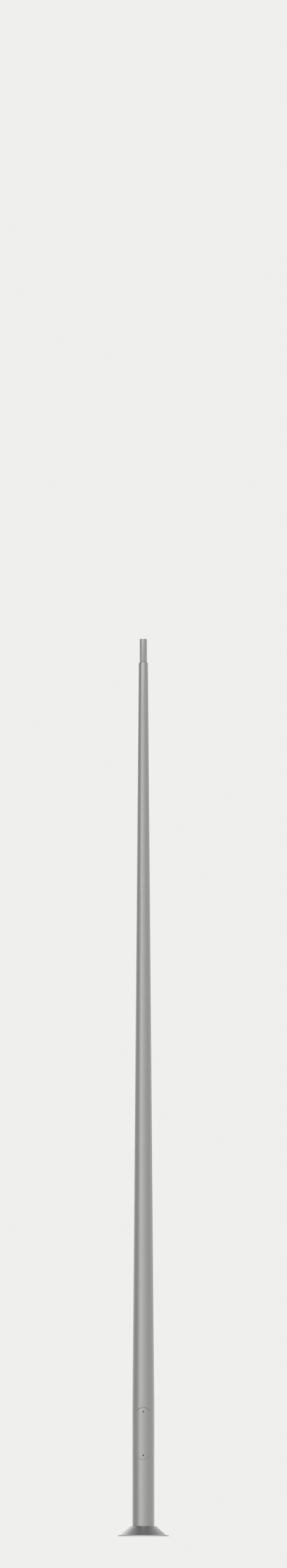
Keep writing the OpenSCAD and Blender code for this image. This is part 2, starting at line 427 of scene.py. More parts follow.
# The roller rings' tone, with the painted light of the rim on top.
ring_tone_and_painted_light = add_node(
    tree, "VectorMath", {"operation": "SCALE"},
    {"Vector": ring_tone.outputs["Color"], "Scale": painted_rim_light.outputs["Result"]},
)
spun = add_node(
    tree, "BsdfPrincipled", {"Metallic": 1.0},
    {
        "Base Color": ring_tone_and_painted_light.outputs["Vector"],
        "Roughness": cover_polish.outputs["Value"],
        "Normal": ring_relief.outputs["Normal"],
    },
)
add_node(tree, "OutputMaterial", {}, {"Surface": spun.outputs["BSDF"]})
print("made", spun_aluminium.name)

# %% [markdown]
# The small hardware is steel and brass. Black oxide is a thin dark skin on steel, with the metal's sheen
# still under it. Zinc plating is pale and slightly blue, with patches where the bath crystals differ.
# Turned brass is yellow with fine rings. All three are metals with a fine grain, so they use the same
# steps as the aluminium.

# %% Steel and brass
OXIDE_GRAIN_MM = (0.8, 0.8, 0.8)
ZINC_PATCH_MM = (5.0, 5.0, 5.0)
BRASS_RING_MM = (6.0, 6.0, 0.6)
black_steel = satin_metal(
    "black_oxide_steel", dark="#131314", light="#1E1E20",
    streak=OXIDE_GRAIN_MM, roughness=(0.35, 0.5), relief=0.02,
)
zinc_steel = satin_metal(
    "zinc_plated_steel", dark="#A9ADB3", light="#BFC3C8",
    streak=ZINC_PATCH_MM, roughness=(0.28, 0.42), relief=0.02,
)
turned_brass = satin_metal(
    "turned_brass", dark="#BE9A50", light="#D0AE66",
    streak=BRASS_RING_MM, roughness=(0.22, 0.34), relief=0.02,
)

# %% [markdown]
# Every piece ends the same way: its points become a mesh with smooth faces and sharp edges, it gets a
# finish, it rides on a body, and it stands for its CAD node.

# %% Finish a piece
SHARP_DEGREES = 32.0


def finish_piece(name, shape, material, body, node):
    """Makes a piece from a shape, which is its points in millimetres and its faces."""
    points, faces = shape
    mesh = bpy.data.meshes.new(name)
    mesh.from_pydata([Vector(point) * MM for point in points], [], faces)
    outward = bmesh.new()
    outward.from_mesh(mesh)
    bmesh.ops.recalc_face_normals(outward, faces=outward.faces)
    outward.to_mesh(mesh)
    outward.free()
    mesh.shade_smooth()
    mesh.set_sharp_from_angle(angle=math.radians(SHARP_DEGREES))
    mesh.materials.append(material)
    piece = bpy.data.objects.new(name, mesh)
    bpy.context.collection.objects.link(piece)
    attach(piece, body)
    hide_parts(node)
    print(f"{name}: {len(mesh.polygons)} faces, stands for {node}")
    return piece


# %% [markdown]
# Cut metal isn't left knife sharp: a file takes its edges off. The Bevel modifier does that here. It
# reads a weight on each sharp edge, so one piece can have broad edges in one place and fine ones in
# another, and a function of the edge's place can give that weight.

# %% Break the edges
EDGE_STEPS = 2


def break_edges(piece, width, share_at=None):
    """Takes the sharp edges off a piece, as a file does. share_at gives an edge's share of the width."""
    weights = piece.data.attributes.new("bevel_weight_edge", "FLOAT", "EDGE")
    corners = piece.data.vertices
    for edge in piece.data.edges:
        if edge.use_edge_sharp:
            middle = sum((corners[i].co for i in edge.vertices), Vector()) / 2
            weights.data[edge.index].value = share_at(middle / MM) if share_at else 1.0
    bevel = piece.modifiers.new("broken_edges", "BEVEL")
    bevel.width = width * MM
    bevel.segments = EDGE_STEPS
    bevel.limit_method = "WEIGHT"
    bevel.harden_normals = True


print("broken edges have", EDGE_STEPS, "steps")

# %% [markdown]
# The shaft is one tube with a doorway in its wall. A Boolean would cut it, but it leaves long thin
# faces that shade badly on a curve. Instead the wall is a grid of columns and rows, and the rows bend
# until one of them is the doorway's round end. The same rows serve the inside of the wall, and the cut is
# closed by faces between the two. The doorway's flanks point at the axis, so each is one column.

# %% Shape of the doorway
SHAFT_WALL_MM = 4.5
SHOULDER_MM = 8.0
TAPER_RISE_MM = 7.0
DOOR_GAP_MM = 1.0
END_BULGE_MM = 7.0

bore_r = shaft_r - SHAFT_WALL_MM
door_low, door_high = box_mm("door")
door_z = middle_z("door")
opening_half_h = (door_high.z - door_low.z) / 2 + DOOR_GAP_MM
flank_angle = math.asin(door_high.x / shaft_r) + DOOR_GAP_MM / shaft_r
opening_half_w = shaft_r * math.sin(flank_angle)
opening_end_r = opening_half_w + END_BULGE_MM
end_centre = opening_half_h - opening_end_r
taper_z = door_z + opening_half_h + TAPER_RISE_MM
top_r = mounts["spigot"]["r_mm"] + SHOULDER_MM
mouth_r = top_r - SHAFT_WALL_MM


def half_height(angle, radius, inset):
    """Half the height of the doorway at an angle from its middle, drawn in by an inset."""
    across = radius * math.sin(max(-flank_angle, min(flank_angle, angle)))
    return end_centre + math.sqrt((opening_end_r - inset) ** 2 - across ** 2)


def on_wall(angle, radius, z):
    """A point on the shaft's wall. Angle 0 faces the camera, and angles run to the right."""
    return Vector((radius * math.sin(angle), -radius * math.cos(angle), z))


print(f"doorway: {2 * opening_half_w:.1f} by {2 * opening_half_h:.1f} mm at {door_z:.1f} mm")

# %% [markdown]
# Each row is a function of the angle. Outside the wall the rows climb from the foot to the shoulder,
# and inside they come back down, so the last row joins the first and the tube has no open edge.

# %% Rows of the shaft
DOORWAY_ROWS = 8
BEND_ROWS = 3
TAPER_ROWS = 16
LOWER_ROWS = 6
SHOULDER_ROUND_MM = 1.5


def shares(steps):
    """The shares 1/steps, 2/steps and so on up to 1."""
    return [(i + 1) / steps for i in range(steps)]


def wall_rows(radius, top_radius, top_z):
    """Rows up one face of the wall, and the numbers of the rows that start and end the doorway."""
    bend_z = door_z - opening_half_h - shaft_r

    def end_row(side):
        return lambda angle: door_z + side * half_height(angle, radius, 0)

    def between(start, end, share):
        return lambda angle: start(angle) + (end(angle) - start(angle)) * share

    def level(z):
        return lambda angle: z

    stretches = [
        (level(bend_z), LOWER_ROWS),
        (end_row(-1), BEND_ROWS),
        (end_row(1), DOORWAY_ROWS),
        (level(taper_z), BEND_ROWS),
    ]
    rows = [(radius, level(foot_z))]
    start = rows[0][1]
    for end, steps in stretches:
        rows += [(radius, between(start, end, share)) for share in shares(steps)]
        start = end
    for share in shares(TAPER_ROWS):
        rows.append((radius + (top_radius - radius) * share, level(taper_z + (top_z - taper_z) * share)))
    door_start = LOWER_ROWS + BEND_ROWS
    return rows, door_start, door_start + DOORWAY_ROWS


outer_rows, door_start, door_end = wall_rows(shaft_r, top_r, shoulder_z - SHOULDER_ROUND_MM)
inner_rows, _, _ = wall_rows(bore_r, mouth_r, shoulder_z)
print("rows:", len(outer_rows), "outside,", len(inner_rows), "inside")

# %% [markdown]
# The columns are close together across the doorway and wider behind it. A dictionary gives each point of
# the grid its number when it is first used, so the cells that the doorway leaves out leave no loose points
# behind. The shoulder's outer edge is a small arc, because a spun end is never sharp.

# %% Grid of the shaft
DOORWAY_COLUMNS = 36
BACK_COLUMNS = 84
ROUND_STEPS = 5

shoulder_rows = []
for share in shares(ROUND_STEPS):
    turn = RIGHT_ANGLE * share
    row_r = top_r - SHOULDER_ROUND_MM * (1 - math.cos(turn))
    row_z = shoulder_z - SHOULDER_ROUND_MM * (1 - math.sin(turn))
    shoulder_rows.append((row_r, lambda angle, z=row_z: z))
shaft_rows = outer_rows + shoulder_rows + inner_rows[::-1]
last_row = len(shaft_rows) - 1

shaft_columns = [flank_angle * (2 * i / DOORWAY_COLUMNS - 1) for i in range(DOORWAY_COLUMNS + 1)]
back_angle = 2 * math.pi - 2 * flank_angle
shaft_columns += [flank_angle + back_angle * share for share in shares(BACK_COLUMNS)[:-1]]

shaft_points = []
shaft_faces = []
point_number = {}


def shaft_point(column, row):
    """Number of the grid's point, which is added when it is first asked for."""
    column %= len(shaft_columns)
    row %= len(shaft_rows)
    if (column, row) not in point_number:
        radius, height_at = shaft_rows[row]
        angle = shaft_columns[column]
        point_number[column, row] = len(shaft_points)
        shaft_points.append(on_wall(angle, radius, height_at(angle)))
    return point_number[column, row]


def add_shaft_face(*corners):
    """Adds a face between grid points, each given by its column and row."""
    shaft_faces.append([shaft_point(column, row) for column, row in corners])


print("shaft grid:", len(shaft_columns), "columns,", len(shaft_rows), "rows")

# %% [markdown]
# Now the grid becomes faces, apart from the doorway's cells, and four walls close the cut: one along each
# round end and one along each flank. Last, a file breaks the edges. The doorway's outer edge is broad, so
# that it catches the light. Its inner edge is fine, so that the corners stay clear of the door.

# %% Build the shaft
CUT_EDGE_MM = 2.0
FINE_EDGE_SHARE = 0.2

doorway_cells = set(range(door_start, door_end)) | set(range(last_row - door_end, last_row - door_start))
for column in range(len(shaft_columns)):
    for row in range(len(shaft_rows)):
        if column >= DOORWAY_COLUMNS or row not in doorway_cells:
            add_shaft_face((column, row), (column + 1, row), (column + 1, row + 1), (column, row + 1))
for row in (door_start, door_end):
    for column in range(DOORWAY_COLUMNS):
        back = last_row - row
        add_shaft_face((column, row), (column + 1, row), (column + 1, back), (column, back))
for column in (0, DOORWAY_COLUMNS):
    for row in range(door_start, door_end):
        back = last_row - row
        add_shaft_face((column, row), (column, row + 1), (column, back - 1), (column, back))
shaft_tube = finish_piece("shaft_tube", (shaft_points, shaft_faces), satin_aluminium, "pole", "shaft")


def shaft_edge_share(point):
    """The doorway's outer edge is filed broad. Its inner edge and the shaft's ends are filed lightly."""
    at_doorway = abs(point.z - door_z) < opening_half_h + CUT_EDGE_MM
    outside = math.hypot(point.x, point.y) > (shaft_r + bore_r) / 2
    return 1.0 if at_doorway and outside else FINE_EDGE_SHARE


break_edges(shaft_tube, CUT_EDGE_MM, shaft_edge_share)

# %% [markdown]
# The door is the piece that the cut leaves, trimmed to give a gap, so it has the same wall and the same
# finish. The gap is widest in the middle of each end and nearly closes at the flanks, which leaves a dark
# line round the ends and hardly any along the sides. Each screw hole replaces a small block of the door's
# grid with rings that run from the block's square edge to the hole's circle.

# %% Grid of the door
FLANK_GAP_MM = 0.25
HOLE_BLOCK_MM = 9.0
BLOCK_CELLS = 8
SIDE_CELLS = 12
MIDDLE_CELLS = 14
END_CELLS = 5
SCREW_NAMES = ("lower", "upper")

screw_heights = [middle_z(f"door_screw_{name}") for name in SCREW_NAMES]
door_half_h = opening_half_h - DOOR_GAP_MM
door_flank = flank_angle - FLANK_GAP_MM / shaft_r


def steps_between(start, end, count):
    """Evenly spaced values after start, up to and with end."""
    return [start + (end - start) * share for share in shares(count)]


block_angle = HOLE_BLOCK_MM / shaft_r
door_columns = [-door_flank] + steps_between(-door_flank, -block_angle, SIDE_CELLS)
door_columns += steps_between(-block_angle, block_angle, BLOCK_CELLS)
door_columns += steps_between(block_angle, door_flank, SIDE_CELLS)

door_levels = [door_z - door_half_h]
stops = [
    (screw_heights[0] - HOLE_BLOCK_MM, END_CELLS),
    (screw_heights[0] + HOLE_BLOCK_MM, BLOCK_CELLS),
    (screw_heights[1] - HOLE_BLOCK_MM, MIDDLE_CELLS),
    (screw_heights[1] + HOLE_BLOCK_MM, BLOCK_CELLS),
    (door_z + door_half_h, END_CELLS),
]
for stop, count in stops:
    door_levels += steps_between(door_levels[-1], stop, count)
hole_blocks = [(SIDE_CELLS, END_CELLS), (SIDE_CELLS, END_CELLS + BLOCK_CELLS + MIDDLE_CELLS)]
print("door grid:", len(door_columns), "columns,", len(door_levels), "rows")

# %% [markdown]
# A row has the full curve of the doorway's end at the door's own end, and less of it towards the middle,
# where it is straight. Round a screw hole, each ring lies one step nearer the circle than the last.

# %% Rows and screw rings of the door
HOLE_RINGS = 3
SCREW_R_MM = 3.0
SCREW_CLEARANCE_MM = 0.6

screw_low, screw_high = box_mm("door_screw_upper")
screw_head_r = screw_high.x
hole_r = screw_head_r + SCREW_CLEARANCE_MM / 2
door_points = []
door_faces = []


def door_level(angle, radius, level):
    """Height of a row at an angle. The gap closes from the middle of an end towards the flanks."""
    from_middle = level - door_z
    end_share = (from_middle / door_half_h) ** 2
    gap = DOOR_GAP_MM + (FLANK_GAP_MM - DOOR_GAP_MM) * (angle / flank_angle) ** 2
    drop = door_half_h - half_height(angle, radius, gap)
    return level - math.copysign(drop * end_share, from_middle)


def wall_between(first, second):
    """Adds the door's faces between two loops of equally many points, given by their numbers."""
    for i in range(len(first)):
        after = (i + 1) % len(first)
        door_faces.append([first[i], first[after], second[after], second[i]])


def screw_rings(edge, radius, height):
    """Rings of faces from the edge of a block of cells in to a screw hole. Returns the hole's points."""
    outer = edge
    for share in shares(HOLE_RINGS):
        inner = []
        for number in edge:
            x, _, z = door_points[number]
            turn = math.atan2(z - height, x)
            to_x = x + (hole_r * math.cos(turn) - x) * share
            to_z = z + (height + hole_r * math.sin(turn) - z) * share
            inner.append(len(door_points))
            door_points.append((to_x, -math.sqrt(radius ** 2 - to_x ** 2), to_z))
        wall_between(outer, inner)
        outer = inner
    return outer


print("screw holes:", round(2 * hole_r, 2), "mm across,", HOLE_RINGS, "rings each")

# %% [markdown]
# One function makes a face of the door at a given radius, so it serves the front and the back. It returns
# the numbers of the points on its edge and round its holes, in the same order for both faces.

# %% One face of the door


def loop_round(low_column, high_column, low_row, high_row):
    """Grid places round a block of cells, once, without repeats."""
    loop = [(column, low_row) for column in range(low_column, high_column)]
    loop += [(high_column, row) for row in range(low_row, high_row)]
    loop += [(column, high_row) for column in range(high_column, low_column, -1)]
    loop += [(low_column, row) for row in range(high_row, low_row, -1)]
    return loop


def in_block(column, row):
    """Whether a cell is in one of the blocks that the screw holes replace."""
    return any(
        left <= column < left + BLOCK_CELLS and low <= row < low + BLOCK_CELLS for left, low in hole_blocks
    )


def door_face(radius):
    """One face of the door. Returns the points of its edge and of its two holes."""
    number = {}
    for column, angle in enumerate(door_columns):
        for row, level in enumerate(door_levels):
            if not (in_block(column - 1, row - 1) and in_block(column, row)):
                number[column, row] = len(door_points)
                door_points.append(on_wall(angle, radius, door_level(angle, radius, level)))
    for column in range(len(door_columns) - 1):
        for row in range(len(door_levels) - 1):
            corners = [(column, row), (column + 1, row), (column + 1, row + 1), (column, row + 1)]
            if not in_block(column, row):
                door_faces.append([number[corner] for corner in corners])
    holes = []
    for (left, low), height in zip(hole_blocks, screw_heights):
        edge = [number[place] for place in loop_round(left, left + BLOCK_CELLS, low, low + BLOCK_CELLS)]
        holes.append(screw_rings(edge, radius, height))
    edge = [number[place] for place in loop_round(0, len(door_columns) - 1, 0, len(door_levels) - 1)]
    return [edge] + holes


front_loops, back_loops = door_face(shaft_r), door_face(bore_r)
print("loops of a face:", [len(loop) for loop in front_loops], "points")

# %% [markdown]
# Walls join the two faces round the edge and through each screw hole. Then the file breaks the edges. The
# ends are broad in the middle, and the flanks stay crisp so that they all but vanish in the shaft.

# %% Join the door
for front, back in zip(front_loops, back_loops):
    wall_between(front, back)
door_panel = finish_piece("door_panel", (door_points, door_faces), satin_aluminium, "door", "door")


def door_edge_share(point):
    """The door's ends are filed broad in the middle, and its flanks and screw holes only lightly."""
    at_hole = any(math.hypot(point.x, point.z - height) < HOLE_BLOCK_MM for height in screw_heights)
    flank_share = math.atan2(point.x, -point.y) / door_flank
    return FINE_EDGE_SHARE if at_hole else 1 - (1 - FINE_EDGE_SHARE) * flank_share ** 2


break_edges(door_panel, CUT_EDGE_MM, door_edge_share)

# %% [markdown]
# The other round pieces are revolved, as a lathe makes them: a closed outline of radius and height is
# turned about an axis. Each corner of an outline can carry a small radius, and a helper puts an arc there.

# %% Round the corners of an outline
ARC_STEPS = 4


def rounded(outline):
    """Replaces each corner (radius, height, rounding) of a closed outline by an arc of that rounding."""
    result = []
    for i, (r, z, rounding) in enumerate(outline):
        here = Vector((r, z))
        to_last = Vector(outline[i - 1][:2]) - here
        to_next = Vector(outline[(i + 1) % len(outline)][:2]) - here
        if rounding == 0:
            result.append((r, z))
            continue
        half_turn = to_last.angle(to_next) / 2
        reach = rounding / math.tan(half_turn)
        bisector = (to_last.normalized() + to_next.normalized()).normalized()
        centre = here + bisector * rounding / math.sin(half_turn)
        first = here + to_last.normalized() * reach - centre
        turn = (here + to_next.normalized() * reach - centre).angle_signed(first)
        for step in range(ARC_STEPS + 1):
            spoke = first.copy()
            spoke.rotate(Matrix.Rotation(turn * step / ARC_STEPS, 2))
            result.append(tuple(centre + spoke))
    return result


print("corner arcs have", ARC_STEPS, "steps")

# %% [markdown]
# Many solids are a row of loops with a skin between them: the outlines that a lathe turns, the slices of a
# weld, or the rings of a screw head. One function makes that skin. Where the row doesn't close on itself,
# it caps both ends.

# %% Skin and lathe helpers


def spokes(sides):
    """Angles of evenly spaced spokes round an axis."""
    return [2 * math.pi * i / sides for i in range(sides)]


def on_spoke(radius, turn, z):
    """A point at a radius, an angle and a height."""
    return Vector((radius * math.cos(turn), radius * math.sin(turn), z))


def circle_loop(radius, z, sides):
    """A loop of points on a circle."""
    return [on_spoke(radius, turn, z) for turn in spokes(sides)]


def skin(loops, closed, place=Matrix()):
    """Points, moved by a matrix in millimetres, and faces between loops of equally many points."""
    size = len(loops[0])
    points = [place @ point for loop in loops for point in loop]
    faces = []
    pairs = len(loops) if closed else len(loops) - 1
    for loop in range(pairs):
        this, after = loop * size, (loop + 1) % len(loops) * size
        for i in range(size):
            k = (i + 1) % size
            faces.append([this + i, this + k, after + k, after + i])
    if not closed:
        faces.append(list(range(size))[::-1])
        faces.append(list(range(len(points) - size, len(points))))
    return points, faces


def lathe(outline, segments, place=Matrix()):
    """Points and faces of a closed outline turned about Z, then moved by a matrix."""
    loops = [[on_spoke(r, turn, z) for r, z in outline] for turn in spokes(segments)]
    return skin(loops, closed=True, place=place)


print("spokes of a hexagon, in degrees:", [round(math.degrees(turn)) for turn in spokes(6)])

# %% [markdown]
# The spigot is a turned tube. Its plug sits in the shaft's mouth, a relief groove at the shoulder lets
# a luminaire seat squarely, and its top edge is chamfered so that a socket slides on.

# %% Build the spigot
SPIGOT_SEGMENTS = 96
GROOVE_DEPTH_MM = 1.5
GROOVE_HEIGHT_MM = 5.0
SPIGOT_CHAMFER_MM = 2.0
TURNED_EDGE_MM = 0.4

spigot_low, spigot_high = box_mm("spigot")
spigot_r = mounts["spigot"]["r_mm"]
spigot_bore_r = mounts["cable_exit"]["r_mm"]
plug_r = spigot_high.x
spigot_corners = [
    (spigot_bore_r, spigot_low.z),
    (plug_r, spigot_low.z),
    (plug_r, shoulder_z),
    (spigot_r - GROOVE_DEPTH_MM, shoulder_z),
    (spigot_r - GROOVE_DEPTH_MM, shoulder_z + GROOVE_HEIGHT_MM),
    (spigot_r, shoulder_z + GROOVE_HEIGHT_MM),
    (spigot_r, spigot_high.z - SPIGOT_CHAMFER_MM),
    (spigot_r - SPIGOT_CHAMFER_MM, spigot_high.z),
    (spigot_bore_r, spigot_high.z),
]
spigot_outline = rounded([(r, z, TURNED_EDGE_MM) for r, z in spigot_corners])
finish_piece("spigot_tube", lathe(spigot_outline, SPIGOT_SEGMENTS), turned_aluminium, "pole", "spigot")

# %% [markdown]
# The cover is one disc of 3 mm sheet. Its outline has two faces, and every bend is an arc outside with a
# tighter one inside, because a roller can't fold sheet to a sharp corner. The inner face lies one sheet
# thickness in from the outer face, measured square to it, so on the cone it is further down.

# %% Build the base cover
COVER_SEGMENTS = 192
COVER_SHEET_MM = 3.0
COVER_BEND_MM = 4.0
FOOT_BEND_MM = 2.0
SHEET_EDGE_MM = 0.5
BRIM_HEIGHT_MM = 10.0
BRIM_WIDTH_MM = 23.0
LEDGE_MM = 15.0
COVER_CLEARANCE_MM = 1.0

cover_h = cover_high.z
cone_foot_r = rim_r - BRIM_WIDTH_MM
cone_top_r = shaft_r + LEDGE_MM
lip_r = shaft_r + COVER_CLEARANCE_MM
cone_angle = math.atan2(cover_h - BRIM_HEIGHT_MM, cone_foot_r - cone_top_r)
cone_shift = COVER_SHEET_MM * math.tan(cone_angle / 2)
inner_bend = COVER_BEND_MM - COVER_SHEET_MM
cover_outline = rounded([
    (rim_r - COVER_SHEET_MM, 0, SHEET_EDGE_MM),
    (rim_r, 0, SHEET_EDGE_MM),
    (rim_r, BRIM_HEIGHT_MM, COVER_BEND_MM),
    (cone_foot_r, BRIM_HEIGHT_MM, FOOT_BEND_MM),
    (cone_top_r, cover_h, COVER_BEND_MM),
    (lip_r, cover_h, SHEET_EDGE_MM),
    (lip_r, cover_h - COVER_SHEET_MM, SHEET_EDGE_MM),
    (cone_top_r - cone_shift, cover_h - COVER_SHEET_MM, inner_bend),
    (cone_foot_r - cone_shift, BRIM_HEIGHT_MM - COVER_SHEET_MM, FOOT_BEND_MM + COVER_SHEET_MM),
    (rim_r - COVER_SHEET_MM, BRIM_HEIGHT_MM - COVER_SHEET_MM, inner_bend),
])
finish_piece("spun_cover", lathe(cover_outline, COVER_SEGMENTS), spun_aluminium, "cover", "base_cover")

# %% [markdown]
# Holes through flat faces are a good use of a Boolean, because a flat face shades the same however it is
# divided. The drills are joined in one mesh, used once and thrown away.

# %% Drill helpers
DRILL_SEGMENTS = 48


def join(shapes):
    """Several shapes, each given as points and faces, as one."""
    points = []
    faces = []
    for more_points, more_faces in shapes:
        faces += [[len(points) + corner for corner in face] for face in more_faces]
        points += more_points
    return points, faces


def rod(radius, start, end, segments, place=Matrix()):
    """Points and faces of a solid rod along Z, then moved by a matrix."""
    return skin([circle_loop(radius, z, segments) for z in (start, end)], closed=False, place=place)


def drill(piece, holes, broken_edge):
    """Cuts holes, each given as points and faces, through a piece for good, then breaks its edges."""
    cutter_points, cutter_faces = join(holes)
    cutter_mesh = bpy.data.meshes.new("drills")
    cutter_mesh.from_pydata([point * MM for point in cutter_points], [], cutter_faces)
    cutter = bpy.data.objects.new("drills", cutter_mesh)
    bpy.context.collection.objects.link(cutter)
    cut = piece.modifiers.new("drilled", "BOOLEAN")
    cut.object = cutter
    bpy.context.view_layer.update()
    drilled = bpy.data.meshes.new_from_object(piece.evaluated_get(bpy.context.evaluated_depsgraph_get()))
    drilled.shade_smooth()
    drilled.set_sharp_from_angle(angle=math.radians(SHARP_DEGREES))
    drilled.name = piece.name
    piece.modifiers.clear()
    piece.data = drilled
    bpy.data.objects.remove(cutter)
    break_edges(piece, broken_edge)
    print(f"{piece.name}: drilled {len(holes)} holes, {len(drilled.polygons)} faces")


print("drills have", DRILL_SEGMENTS, "sides")

# %% [markdown]
# The base plate is sawn and turned from thick plate, then drilled for its anchors. The shaft's foot stands
# in a groove that the lathe leaves in its top. Seated and welded pieces keep a gap too fine to see, so that
# no two faces share a place.

# %% Build the base plate
PLATE_SEGMENTS = 160
PLATE_CHAMFER_MM = 2.0
PLATE_EDGE_MM = 0.6
SEAT_GAP_MM = 0.15
ANCHOR_START = 0.5

_, plate_high = box_mm("base_plate")
plate_r = plate_high.x
plate_t = plate_high.z
cable_hole_r = mounts["cable_entry"]["r_mm"]
outer_seat_r = shaft_r + SEAT_GAP_MM
inner_seat_r = bore_r - SEAT_GAP_MM
plate_outline = [
    (cable_hole_r, 0),
    (plate_r - PLATE_CHAMFER_MM, 0),
    (plate_r, PLATE_CHAMFER_MM),
    (plate_r, plate_t - PLATE_CHAMFER_MM),
    (plate_r - PLATE_CHAMFER_MM, plate_t),
    (outer_seat_r, plate_t),
    (outer_seat_r, foot_z),
    (inner_seat_r, foot_z),
    (inner_seat_r, plate_t),
    (cable_hole_r, plate_t),
]
plate_blank = lathe(plate_outline, PLATE_SEGMENTS)
anchor_plate = finish_piece("anchor_plate", plate_blank, mill_aluminium, "pole", "base_plate")
anchors = mounts["anchor_bolts"]
anchor_drills = []
for i in range(anchors["count"]):
    turn = Matrix.Rotation(2 * math.pi * (i + ANCHOR_START) / anchors["count"], 4, "Z")
    out = Matrix.Translation((anchors["pcd_mm"] / 2, 0, 0))
    anchor_drills.append(rod(anchors["hole_r_mm"], -plate_t, 2 * plate_t, DRILL_SEGMENTS, turn @ out))
drill(anchor_plate, anchor_drills, PLATE_EDGE_MM)

# %% [markdown]
# A weld bead is a row of frozen puddles, each lying on the one before. The bead is a ring of outlines
# like a slice of orange, and its crown rises and falls along the ring: steeply at the front of each
# puddle and gently behind it, which is what makes a bead look like stacked coins.

# %% Build the foot weld
PUDDLE_MM = 5.0
STEPS_PER_PUDDLE = 6
CROWN_STEPS = 7
CROWN_MM = 1.2
PUDDLE_RISE_MM = 0.7

_, weld_high = box_mm("foot_weld")
weld_leg = weld_high.x - outer_seat_r
puddles = round(2 * math.pi * (outer_seat_r + weld_leg / 2) / PUDDLE_MM)
bead_slices = []
for step, angle in enumerate(spokes(puddles * STEPS_PER_PUDDLE)):
    ripple = (step % STEPS_PER_PUDDLE) / STEPS_PER_PUDDLE
    crown = CROWN_MM - PUDDLE_RISE_MM * ripple
    bead_slice = [on_wall(angle, outer_seat_r, plate_t)]
    for i in range(CROWN_STEPS + 1):
        share = i / CROWN_STEPS
        bulge = crown * math.sin(math.pi * share) / math.sqrt(2)
        crown_r = outer_seat_r + weld_leg * (1 - share) + bulge
        bead_slice.append(on_wall(angle, crown_r, plate_t + weld_leg * share + bulge))
    bead_slices.append(bead_slice)
finish_piece("foot_weld_bead", skin(bead_slices, closed=True), weld_aluminium, "pole", "foot_weld")
print("puddles:", puddles)

# %% [markdown]
# The door's hardware lies along two screws. A matrix for each screw turns a piece made upright, with +Z
# as its front, so that its front faces out of the door, and lifts it to the screw's height.

# %% Places along the door screws


def along_screw(height):
    """Matrix that lays a piece made along +Z towards the camera, at a height in millimetres."""
    return Matrix.Translation((0, 0, height)) @ Matrix.Rotation(RIGHT_ANGLE, 4, "X")


screw_places = {name: along_screw(height) for name, height in zip(SCREW_NAMES, screw_heights)}
print("screws at", [round(height, 1) for height in screw_heights], "mm")

# %% [markdown]
# Each sleeve is a short turned tube behind the door, with a step inside that carries the screw's head.
# Its front end is cut to the curve of the shaft's bore so that it sits flat against the door's back:
# the points of its front edge are slid along the screw until they lie on that curve.

# %% Build the sleeves
SLEEVE_SEGMENTS = 64
SLEEVE_EDGE_MM = 0.3
SCREW_HEAD_HEIGHT_MM = 6.0

_, sleeve_high = box_mm("door_sleeve_upper")
sleeve_r = sleeve_high.x
sleeve_back = -sleeve_high.y
head_front = -screw_low.y
head_seat = head_front - SCREW_HEAD_HEIGHT_MM
thread_hole_r = SCREW_R_MM + SCREW_CLEARANCE_MM / 2
sleeve_outline = rounded([
    (thread_hole_r, sleeve_back, SLEEVE_EDGE_MM),
    (sleeve_r, sleeve_back, SLEEVE_EDGE_MM),
    (sleeve_r, inner_seat_r, 0),
    (hole_r, inner_seat_r, 0),
    (hole_r, head_seat, SLEEVE_EDGE_MM),
    (thread_hole_r, head_seat, SLEEVE_EDGE_MM),
])
sleeve_points, sleeve_faces = lathe(sleeve_outline, SLEEVE_SEGMENTS)
for point in sleeve_points:
    if point.z > inner_seat_r - SLEEVE_EDGE_MM:
        point.z = math.sqrt(inner_seat_r ** 2 - point.x ** 2)
for name in SCREW_NAMES:
    sleeve = [screw_places[name] @ point for point in sleeve_points], sleeve_faces
    finish_piece(f"screw_sleeve_{name}", sleeve, mill_aluminium, "door", f"door_sleeve_{name}")

# %% [markdown]
# The screws are socket screws. The thread is a helix: on an unrolled rod it is a slanted wave, so each
# point's radius follows its height less its share of a turn. The socket is a hexagon, so the points of its
# loops lie on the hexagon's flats.

# %% Thread and hexagon helpers
THREAD_SIDES = 32
ROWS_PER_PITCH = 8
THREAD_DEPTH_SHARE = 0.61
SIXTH_TURN = math.radians(60)


def hexagon_r(turn, across_flats):
    """Distance from the middle of a hexagon to its edge, at an angle."""
    return across_flats / 2 / math.cos((turn + SIXTH_TURN / 2) % SIXTH_TURN - SIXTH_TURN / 2)


def hexagon_loop(across_flats, z, sides):
    """A loop of points on a hexagon, one on each of the same spokes as a circle's."""
    return [on_spoke(hexagon_r(turn, across_flats), turn, z) for turn in spokes(sides)]


def thread_loops(radius, pitch, start, end):
    """Loops of a threaded rod along Z, with its ends run out to the core."""
    depth = THREAD_DEPTH_SHARE * pitch
    rows = math.ceil((end - start) / pitch * ROWS_PER_PITCH)
    loops = []
    for row in range(rows + 1):
        z = start + (end - start) * row / rows
        to_end = min(z - start, end - z) / pitch
        loop = []
        for i, turn in enumerate(spokes(THREAD_SIDES)):
            wave = abs(2 * ((z / pitch - i / THREAD_SIDES) % 1) - 1)
            loop.append(on_spoke(radius - depth + depth * min(wave, to_end), turn, z))
        loops.append(loop)
    return loops


print("threads have", ROWS_PER_PITCH, "rows a pitch")

# %% [markdown]
# The head is a stack of loops: circles up its outside and over its edge, then hexagons down into its
# socket, which ends in the shallow cone that a drill leaves. All of them have equally many points, so one
# skin joins them. The threaded shank is a second skin that starts under the head.

# %% Build the door screws
SCREW_PITCH_MM = 1.0
HEAD_SIDES = 48
HEAD_EDGE_MM = 0.6
HEAD_ROUND_MM = 0.18
SOCKET_AF_MM = 5.0
SOCKET_DEPTH_MM = 3.0
SOCKET_EDGE_MM = 0.25
DRILL_POINT_R_MM = 1.25
DRILL_POINT_MM = 0.625

